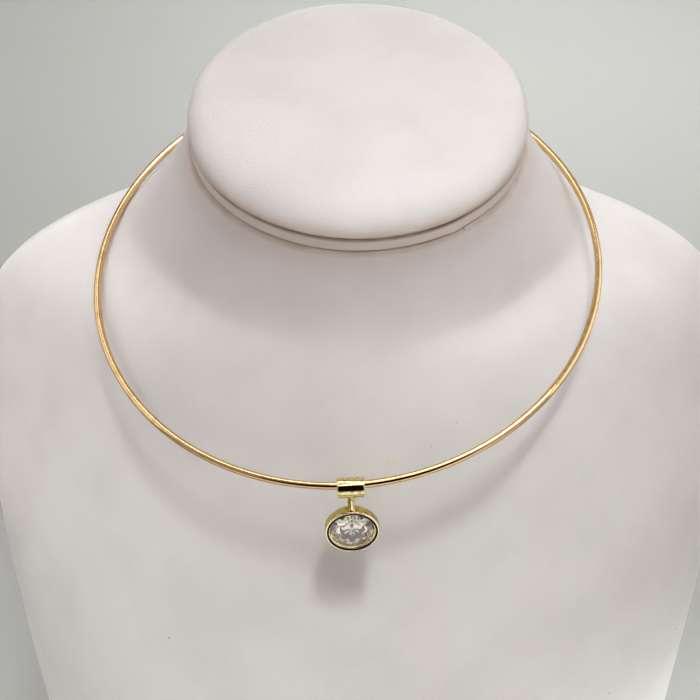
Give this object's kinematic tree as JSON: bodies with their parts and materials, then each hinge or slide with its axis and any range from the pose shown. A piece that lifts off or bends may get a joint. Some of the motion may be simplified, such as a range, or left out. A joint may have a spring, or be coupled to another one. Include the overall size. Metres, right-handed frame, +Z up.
{
  "type": "cuff necklace on neck bust",
  "caption": "Rigid round wire collar necklace with a slide pendant holding an oval clear stone, worn on a padded leatherette neck bust.",
  "frame": {"origin": "middle of the bust's flat base, at the height of the table", "axes": "+Z up, -Y out of the bust's front, +X to the right as seen from the front"},
  "size_m": [0.22, 0.1444, 0.2249],
  "materials": {
    "gold": "polished rose-yellow gold, finely ribbed across the wire",
    "yellow_gold": "polished yellow gold",
    "clear_stone": "clear faceted stone",
    "leatherette": "matt white leatherette with a fine grain, softly padded",
    "leatherette_band": "matt white leatherette with a fine grain"
  },
  "bodies": {
    "worn_collar_and_bust": {"neck_wire": "gold", "clasp": "gold", "bust_form": "leatherette", "neck_band": "leatherette_band", "neck_cap": "leatherette"},
    "pendant": {"pendant_setting": "yellow_gold", "oval_stone": "clear_stone"}
  },
  "joints": [
    {"name": "pendant_swing", "type": "hinge", "parent": "worn_collar_and_bust", "child": "pendant", "pos_m": [-0.00195, -0.0578, 0.14908], "axis": [0.9964, -0.0107, 0.0839], "range_deg": [-232, 26]}
  ]
}
